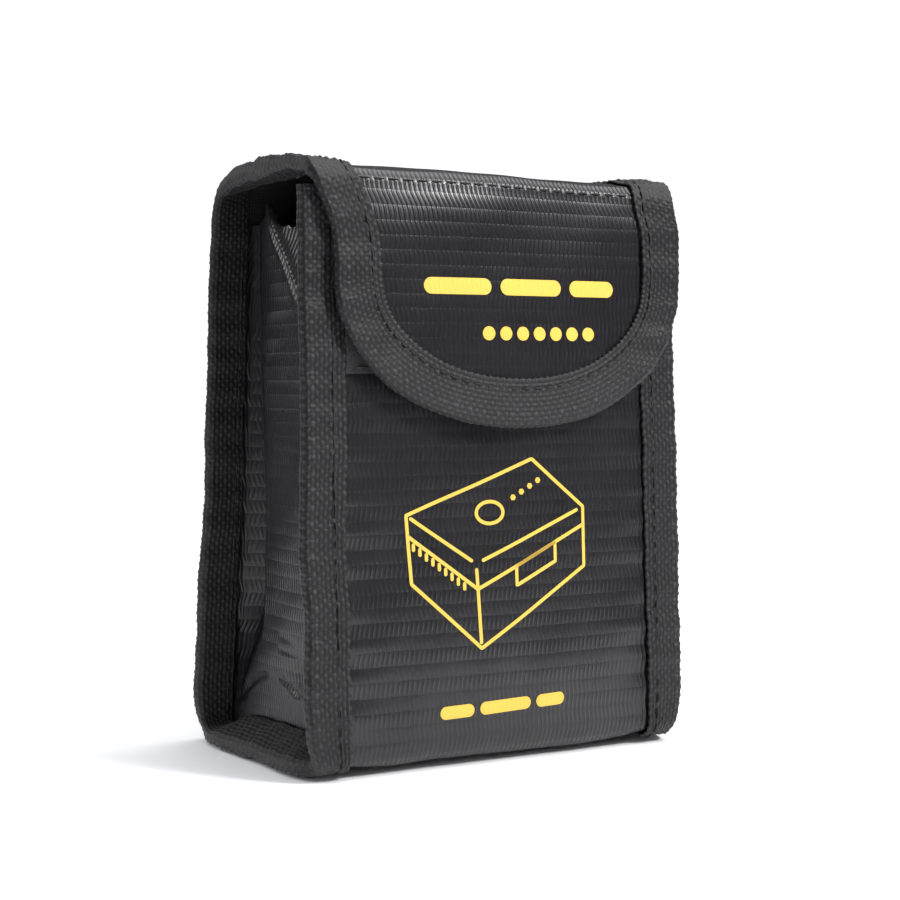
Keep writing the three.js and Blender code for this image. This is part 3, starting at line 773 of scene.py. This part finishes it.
def tubes(name, centres, radii, material, sides=6):
    """Closed tubes of matching length: centres is tubes by rings by three."""
    count, rings, _ = centres.shape
    along = np.gradient(centres, axis=1)
    along /= np.linalg.norm(along, axis=2, keepdims=True)
    helper = np.where(np.abs(along[..., :1]) < 0.8, [[[1.0, 0, 0]]], [[[0, 1.0, 0]]])
    one = np.cross(along, helper)
    one /= np.linalg.norm(one, axis=2, keepdims=True)
    two = np.cross(along, one)
    turn = (2 * np.pi * np.arange(sides) / sides)[:, None]
    ring = one[:, :, None] * np.cos(turn) + two[:, :, None] * np.sin(turn)
    points = centres[:, :, None] + ring * radii[..., None, None]
    body = grid(sides, rings, closed=True)
    last = (rings - 1) * sides
    caps = np.array([[3, 2, 1, 0], [5, 4, 3, 0], [last, last + 1, last + 2, last + 3],
                     [last, last + 3, last + 4, last + 5]])
    each = np.concatenate([body, caps])
    quads = (each[None] + (np.arange(count) * rings * sides)[:, None, None]).reshape(-1, 4)
    return solid(name, flat(points), quads, [material])


def frayed_edge(name, side):
    """Loose glass strands standing along the raw top of a gusset, with one tuft at the front."""
    rng = np.random.default_rng(21 if side < 0 else 22)
    along_edge = STRANDS - TUFT
    y = np.concatenate([rng.uniform(-22, 3.4, along_edge), rng.normal(-6.8, 0.45, TUFT)])
    length = np.concatenate([rng.uniform(0.4, 1.1, along_edge), rng.uniform(1.2, 3.0, TUFT)])
    z = gusset_top(y) - 0.5
    root = settle(side * (HALF_SEAM + 0.3 - gusset_depth(y, z)), y, z)
    lean = rng.normal(0, 0.35, (STRANDS, 2))
    bend = rng.normal(0, 0.5, (STRANDS, 2))
    t = np.linspace(0, 1, 5)
    centres = root[:, None, :] + np.zeros((STRANDS, t.size, 3))
    centres[..., 0] += length[:, None] * (lean[:, :1] * t + bend[:, :1] * t**2)
    centres[..., 1] += length[:, None] * (lean[:, 1:] * t + bend[:, 1:] * t**2)
    centres[..., 2] += length[:, None] * t
    radii = 0.09 * (1 - 0.6 * t)[None, :] + np.zeros((STRANDS, t.size))
    piece = tubes(name, centres, radii, fibre_look)
    return finish_piece(piece, "pouch", [])


# ---------------- woven tape
def webbing(along, across):
    """Height of the beads that the yarns of the tape make."""
    column = np.floor(across / WARP)
    ridge = np.sin(np.pi * (across / WARP - column))
    bead = 0.5 + 0.5 * np.cos(2 * np.pi * (along / FLOAT + column / 2))
    warp = ridge**0.8 * bead
    weft = 0.55 * (1 - bead) * ridge**0.35
    return BEAD * np.maximum(warp, weft)


def section(depth, outer, inner):
    """Places across a folded tape: outer leaf, round the fold, inner leaf."""
    high = GAP + TAPE
    low = -(depth + GAP + TAPE)
    radius = (high - low) / 2
    start = radius - TAPE
    turn = spread(0, math.pi, TAPE_STEP / radius)[1:-1]
    leaf_out = spread(outer, start, TAPE_STEP)
    leaf_in = spread(start, inner, TAPE_STEP)
    inward = np.concatenate([leaf_out, start - radius * np.sin(turn), leaf_in])
    offset = np.concatenate([0 * leaf_out + high, (high + low) / 2 + radius * np.cos(turn),
                             0 * leaf_in + low])
    facing_in = np.concatenate([0 * leaf_out, -np.sin(turn), 0 * leaf_in])
    facing_out = np.concatenate([0 * leaf_out + 1, np.cos(turn), 0 * leaf_in - 1])
    across = np.concatenate([[0], np.cumsum(np.hypot(np.diff(inward), np.diff(offset)))])
    return inward, offset, facing_in, facing_out, across


def tape(name, stops, place, shape, body, nodes):
    """A folded woven tape; place turns a stop, a distance in and an offset into points."""
    inward, offset, facing_in, facing_out, across = section(*shape)
    stops = stops[:, None]
    yarn = webbing(stops, across[None, :])
    beat = np.maximum(0, np.cos(2 * np.pi * stops / STITCH_PITCH)) ** 6
    knots = 1.5 * BEAD * beat * np.exp(-((across[None, :] - KNOT_LINE) / 0.55) ** 4)
    yarn = np.maximum(yarn, knots)
    rise = yarn - BEAD * 0.55 + 0.12 * ripple(stops, across[None, :], 31, 17)
    selvage = np.exp(-across / 0.5) + np.exp(-(across[-1] - across) / 0.5)
    fray = FRAY * np.cos(2 * np.pi * stops / FLOAT) * selvage
    inward = inward[None, :] + 0 * stops
    offset = offset[None, :] + 0 * stops
    outer = place(stops, inward + facing_in * rise + fray, offset + facing_out * rise)
    near = place(stops, inward - facing_in * TAPE * 0.7 + fray, offset - facing_out * TAPE * 0.7)
    quads = grid(across.size, stops.size)
    # The yarn's height goes to the tape's material, which paints shade in the gaps between the beads
    # from it.
    places = coordinates(across, stops, yarn / BEAD)
    piece = shell(name, flat(outer), flat(near), quads, [tape_look], places)
    return finish_piece(piece, body, nodes)


def rolled(s, inward, offset):
    """Extra offset of the tape where its fold is full and round, along the lid."""
    over_lid = smooth(strip.start_of(5) - 3, strip.start_of(6), s)
    over_lid = over_lid * (1 - smooth(FLAP_FLAT, FLAP_FLAT + 14, s))
    outer_share = np.clip((offset + SEAM_DEPTH + GAP + TAPE) / (SEAM_DEPTH + 2 * (GAP + TAPE)), 0, 1)
    return ROLL * over_lid * np.clip(1 - inward / 10, 0, 1) * outer_share


def seam_place(side):
    def place(s, inward, offset):
        wander = 0.3 * ripple(s, 0 * s, 41 + side, 30)
        lifted = offset + rolled(s, inward, offset)
        return strip_point(side * (TAPE_TIP + wander - inward), s, lifted)

    return place


def seam_tape(name, side, low, high, body, nodes):
    stops = spread(low, high, TAPE_STEP)
    shape = (SEAM_DEPTH, TAPE_TIP - HALF_SEAM + 0.5, TAPE_TIP - HALF_SEAM - 1.2)
    return tape(name, stops, seam_place(side), shape, body, nodes)


def flap_outline():
    """The flap's free edge from the lid's middle at the left, round the tongue, to the right."""
    side_s = spread(LID_SEAM - 1.2, ROUND_START, 0.2)
    side_x = flap_half_width(side_s)
    turn = np.linspace(-1, 1, 1200)[1:-1] * np.pi / 2
    power = 2 / FLAP_POWER
    tongue_x = np.sign(turn) * FLAP_HALF_WIDTH * np.abs(np.sin(turn)) ** power
    tongue_s = ROUND_START + FLAP_ROUND * np.cos(turn) ** power
    x = np.concatenate([-side_x, tongue_x, side_x[::-1]])
    s = np.concatenate([side_s, tongue_s, side_s[::-1]])
    length = np.concatenate([[0], np.cumsum(np.hypot(np.diff(x), np.diff(s)))])
    return length, x, s


OUTLINE = flap_outline()


def flap_edge(stop, inward, offset):
    """A place at a distance in from the flap's edge, with the tape's own thickness outside."""
    length, x, s = OUTLINE

    def outline_at(place):
        return np.interp(place, length, x), np.interp(place, length, s)

    here_x, here_s = outline_at(stop)
    ahead_x, ahead_s = outline_at(stop + 1.5)
    behind_x, behind_s = outline_at(stop - 1.5)
    along = np.hypot(ahead_x - behind_x, ahead_s - behind_s)
    out_x = -(ahead_s - behind_s) / along
    out_s = (ahead_x - behind_x) / along
    deep = inward + TAPE
    ends = np.minimum(stop, length[-1] - stop)
    overlap = 0.75 * (1 - smooth(2, 12, ends))
    lifted = offset + overlap * np.sign(offset + CLOTH / 2) + rolled(here_s, inward, offset)
    return flap_point(here_x - deep * out_x, here_s - deep * out_s, lifted)


def flap_tape():
    stops = spread(0, OUTLINE[0][-1], TAPE_STEP + 0.03)
    shape = (CLOTH, BINDING - TAPE, BINDING - TAPE - 0.8)
    nodes = ["flap_binding", "left_top_front_binding", "right_top_front_binding"]
    return tape("flap_binding", stops, flap_edge, shape, "lid_flap", nodes)


# ---------------- stitches
def stitches(name, place, low, high, lifts, body):
    """Rows of stitches; place takes a distance along and an offset, lifts are the rows' faces."""
    starts = np.arange(low + 0.5, high - STITCH_RUN, STITCH_PITCH)
    t = np.linspace(0, 1, 8)
    along = starts[:, None] + STITCH_RUN * t
    arch = np.sin(np.pi * t) ** 0.6
    rise = STITCH_ARCH * (arch - 0.75)
    rows = [place(along, lift + np.sign(lift) * rise) for lift in lifts]
    centres = np.concatenate(rows)
    radii = THREAD_RADIUS * (0.5 + 0.5 * arch)[None, :] + np.zeros((len(centres), 1))
    piece = tubes(name, centres, radii, thread_look)
    return finish_piece(piece, body, [name])


def seam_stitches(name, side, low, high):
    def place(s, offset):
        return strip_point(side * (HALF_SEAM + 2.5), s, offset)

    lifts = [TAPE_FACE, -(SEAM_DEPTH + TAPE_FACE)]
    return stitches(name, place, low, high, lifts, "pouch")


def flap_stitches():
    def place(stop, offset):
        return flap_edge(stop, BINDING - TAPE - 2.4, offset)

    high = OUTLINE[0][-1] - 3
    lifts = [TAPE_FACE, -(CLOTH + TAPE_FACE)]
    return stitches("flap_binding_thread", place, 3, high, lifts, "lid_flap")


def fold_stitches():
    def place(x, offset):
        return flap_point(x, FLAP_SEAM + 0 * x, offset)

    return stitches("flap_fold_thread", place, -38.5, 38.5, [0.16], "lid_flap")


def loop_stitches():
    def place(x, offset):
        return strip_point(x, front_height(LOOP_STITCH_HEIGHT) + 0 * x, offset)

    return stitches("loop_strip_thread", place, -39, 39, [GAP + FASTENER + 0.05], "pouch")


# ---------------- hook and loop
def plate(name, point, x, s, low, high, rough, material):
    """A flat piece between two offsets, its upper face uneven by rough."""
    x = x[None, :]
    s = s[:, None]
    uneven = rough * ripple(x, s, 51, 1.6, 12)
    away = high + np.sign(high - low) * uneven
    outer = flat(point(x, s, away))
    inner = flat(point(x, s, low))
    return shell(name, outer, inner, grid(x.size, s.size), [material], coordinates(x, s))


def loop_strip():
    x = spread(-HALF_SEAM + 0.9, HALF_SEAM - 0.9, 0.5)
    s = spread(front_height(LOOP_HEIGHTS[1]), front_height(LOOP_HEIGHTS[0]), 0.5)
    piece = plate("loop_strip", strip_point, x, s, 0.05, GAP + FASTENER, 0.1, fastener_look)
    return finish_piece(piece, "pouch", ["loop_strip"])


def hook_patch():
    x = spread(-HOOK_HALF_WIDTH, HOOK_HALF_WIDTH, 0.7)
    s = spread(flap_height(HOOK_HEIGHTS[1]), flap_height(HOOK_HEIGHTS[0]), 0.7)
    top = -CLOTH + 0.05
    piece = plate("hook_patch", flap_point, x, s, top, top - 0.6, 0.02, fastener_look)
    return finish_piece(piece, "flap", ["hook_patch"])


def hooks():
    """The hooks of the patch: short stems that curl over."""
    half = HOOK_HALF_WIDTH - 1
    long = HOOK_HEIGHTS[1] - HOOK_HEIGHTS[0]
    x, s = np.meshgrid(np.arange(-half, half + 0.5, HOOK_PITCH),
                       np.arange(0.8, long - 0.6, HOOK_PITCH))
    s = s + flap_height(HOOK_HEIGHTS[1])
    t = np.linspace(0, 1, 6)
    curl = 0.55 * np.maximum(0, t - 0.45) ** 1.5
    stand = -CLOTH - 0.5 - 0.95 * np.sin(t * np.pi * 0.62)
    centres = flap_point(x.ravel()[:, None], s.ravel()[:, None] + curl * 2.2, stand[None, :])
    radii = np.full((x.size, t.size), 0.14)
    piece = tubes("hook_patch_hooks", centres, radii, fastener_look)
    return finish_piece(piece, "flap", [])


# ---------------- ink
def ribbon(chain, width, closed=False):
    """Matching left and right edges along a chain of flat places, its open ends rounded."""
    chain = np.asarray(chain, float)
    if closed:
        chain = np.concatenate([chain, chain[:1]])
    length = np.concatenate([[0], np.cumsum(np.hypot(*np.diff(chain, axis=0).T))])
    at = spread(0, length[-1], 0.35)
    if not closed:
        near_end = width * np.array([0.02, 0.1, 0.25])
        at = np.unique(np.concatenate([at, at[-1] - near_end, near_end]))
    way = np.stack([np.interp(at, length, chain[:, k]) for k in (0, 1)], 1)
    along = np.gradient(way, axis=0)
    if closed:
        along[0] = along[-1] = along[0] + along[-1]
    along /= np.linalg.norm(along, axis=1, keepdims=True)
    side = np.stack([-along[:, 1], along[:, 0]], 1)
    half = np.full(len(at), width / 2)
    if not closed:
        near = np.minimum(np.minimum(at, at[-1] - at) / (width / 2), 1)
        half = width / 2 * np.sqrt(np.clip(1 - (1 - near) ** 2, 0.03, 1))
    return np.stack([way + side * half[:, None] * k for k in (-1, -0.33, 0.33, 1)], 1)


def printed(name, point, height, strokes, body):
    """Ink strokes on the cloth; each stroke is rows of four flat places, x and height."""
    points = []
    quads = []
    places = []
    count = 0
    for rows in strokes:
        x = rows[..., 0]
        s = height(rows[..., 1])
        outer = flat(point(x, s, INK_HIGH))
        inner = flat(point(x, s, INK_LOW))
        quads.append(count + closed_faces(grid(4, len(rows)), len(outer)))
        points += [outer, inner]
        places += [coordinates(x, s)] * 2
        count += 2 * len(outer)
    piece = solid(name, np.concatenate(points), np.concatenate(quads), [ink_look],
                  np.concatenate(places))
    return finish_piece(piece, body, [name])


def bar(x, z, length, height, slope=0.0):
    half = (length - height) / 2
    return ribbon([(x - half - height / 2, z - slope * length / 2),
                   (x + half + height / 2, z + slope * length / 2)], height)


def bars(x, z, lengths, gap, height, slope=0.0):
    """A row of plain bars, centred on x."""
    total = sum(lengths) + gap * (len(lengths) - 1)
    left = x - total / 2
    row = []
    for length in lengths:
        middle = left + length / 2
        row.append(bar(middle, z + slope * (middle - x), length, height, slope))
        left += length + gap
    return row


def oval(x, z, radius_x, radius_z, steps=48):
    turn = 2 * np.pi * np.arange(steps) / steps
    return np.stack([x + radius_x * np.cos(turn), z + radius_z * np.sin(turn)], 1)


def between(start, end, t):
    return tuple(a + (b - a) * t for a, b in zip(start, end))


def pack_drawing():
    """A plain battery block seen from a corner: outline, edges, button, lights and grip."""
    left, top, right, middle = (-26, 58), (8, 70.5), (23, 58.5), (-8, 46)
    low_right, low_middle, low_left = (23, 44), (-7, 26), (-25, 42)
    outline = [left, top, right, low_right, low_middle, low_left]

    def drawn(name, chains, closed=False):
        strokes = [ribbon(chain, LINE, closed) for chain in chains]
        return printed(name, strip_point, front_height, strokes, "pouch")

    drawn("pack_outline_print", [outline], True)
    drawn("pack_button_print", [oval(-4, 58, 3.6, 2.6)], True)
    ends = {"left": left, "right": right, "lower": low_middle}
    for name, end in ends.items():
        chain = [between(middle, end, 0.05), between(middle, end, 0.95)]
        extra = []
        if name == "left":
            extra = [[between(middle, low_middle, 0.3), between(left, low_left, 0.3)]]
            for k in range(9):
                low = between(between(left, low_left, 0.34), between(middle, low_middle, 0.34),
                              0.08 + 0.09 * k)
                extra.append([low, (low[0], low[1] - 2.0)])
        if name == "right":
            high = [between(middle, low_middle, 0.3), between(right, low_right, 0.3)]
            slot = [between(high[0], high[1], 0.35), between(high[0], high[1], 0.72)]
            low_slot = [(x, z - 4.6) for x, z in slot]
            extra = [high, [slot[0], slot[1], low_slot[1], low_slot[0], slot[0]]]
        drawn(f"pack_{name}_edge_print", [chain] + extra)
    for dot in range(4):
        x = 2.5 + 2.4 * dot
        z = 61.4 + 1.3 * dot
        drawn(f"pack_light_{dot + 1}_print", [oval(x, z, 0.35, 0.35, 12)], True)


# ---------------- the pouch
strip_panel("front_panel", 0, FOLD_FRONT, "pouch")
strip_panel("bottom_panel", FOLD_FRONT, FOLD_BACK, "pouch")
strip_panel("back_panel", FOLD_BACK, LID_SEAM, "pouch_lid")
strip_panel("top_panel", LID_SEAM, FLAP_SEAM + 0.6, "lid_flap")
flap_cloth()

for label, side in (("left", -1), ("right", 1)):
    gusset(f"{label}_gusset", side)
    frayed_edge(f"{label}_gusset_frayed_edge", side)
    seam_tape(f"{label}_front_binding", side, -FRONT_LAP, FOLD_FRONT, "pouch",
              [f"{label}_front_binding"])
    seam_tape(f"{label}_bottom_binding", side, FOLD_FRONT, FOLD_BACK, "pouch",
              [f"{label}_bottom_binding"])
    seam_tape(f"{label}_back_binding", side, FOLD_BACK, LID_SEAM, "pouch_lid",
              [f"{label}_back_binding", f"{label}_top_rear_binding"])
    seam_stitches(f"{label}_front_thread", side, 3, FOLD_FRONT)
    seam_stitches(f"{label}_bottom_thread", side, FOLD_FRONT, FOLD_BACK)
    seam_stitches(f"{label}_back_thread", side, FOLD_BACK, strip.start_of(5))

flap_tape()
flap_stitches()
fold_stitches()
loop_stitches()
loop_strip()
hook_patch()
hooks()

pack_drawing()
caption = bars(-1, 12.5, [9, 14, 8], 1.6, 2.9, 0.03)
word = bars(1.25, 111.5, [18, 17.5, 13], 2.6, 3.9)
mark = bars(5.85, 100.5, [3.4] * 7, 1.4, 3.3)
printed("pack_caption_print", strip_point, front_height, caption, "pouch")
printed("flap_word_print", flap_point, flap_height, word, "flap")
printed("flap_mark_print", flap_point, flap_height, mark, "flap")


# ---------------- studio
def studio_bowl():
    """A floor that sweeps up into a round wall, so that no horizon shows from any side."""
    flat_radius = 1100.0
    sweep = 700.0
    turn = np.linspace(0, np.pi / 2, 20)
    radius = np.concatenate([[1.0, 150.0, 400.0, 800.0], flat_radius + sweep * np.sin(turn),
                             [flat_radius + sweep]])
    height = np.concatenate([np.zeros(4), sweep * (1 - np.cos(turn)), [1500.0]])
    around = 2 * np.pi * np.arange(96) / 96
    points = np.stack([radius[:, None] * np.cos(around), radius[:, None] * np.sin(around),
                       height[:, None] + 0 * around], -1)
    bowl = solid("studio_floor", flat(points), grid(96, len(radius), closed=True),
                 [floor_material()])


def soft_light(name, place, size, watts):
    data = bpy.data.lights.new(name, "AREA")
    data.shape = "DISK"
    data.size = size
    data.energy = watts
    lamp = bpy.data.objects.new(name, data)
    lamp.location = place
    lamp.rotation_euler = (Vector(LAMP_AIM) - Vector(place)).to_track_quat("-Z", "Y").to_euler()
    bpy.context.scene.collection.objects.link(lamp)


def front_camera():
    data = bpy.data.cameras.new("camera")
    data.lens = CAMERA_LENS
    data.sensor_width = CAMERA_SENSOR
    data.clip_start = 0.01
    camera = bpy.data.objects.new("camera", data)
    camera.location = CAMERA_PLACE
    camera.rotation_euler = (math.radians(90 - CAMERA_DOWN), 0, math.radians(-CAMERA_TURN))
    bpy.context.scene.collection.objects.link(camera)
    bpy.context.scene.camera = camera


def daylight():
    world = bpy.data.worlds.new("studio")
    bpy.context.scene.world = world
    world.use_nodes = True
    sky = world.node_tree.nodes["Background"]
    sky.inputs["Color"].default_value = (0.97, 0.98, 1.0, 1)
    glossy = world.node_tree.nodes.new("ShaderNodeLightPath").outputs["Is Glossy Ray"]
    dimmed = world.node_tree.nodes.new("ShaderNodeMath")
    dimmed.operation = "MULTIPLY_ADD"
    dimmed.inputs[1].default_value = WORLD_GLOSS - WORLD_LIGHT
    dimmed.inputs[2].default_value = WORLD_LIGHT
    world.node_tree.links.new(glossy, dimmed.inputs[0])
    world.node_tree.links.new(dimmed.outputs[0], sky.inputs["Strength"])


studio_bowl()
daylight()
soft_light("overhead", (0.30, -0.05, 1.0), 0.8, 6)
soft_light("front_right", (0.46, -0.74, 0.78), 0.26, 11)
soft_light("back_left", (-0.75, 1.0, 0.5), 0.5, 2.4)
front_camera()
bpy.context.scene.view_settings.view_transform = "Standard"
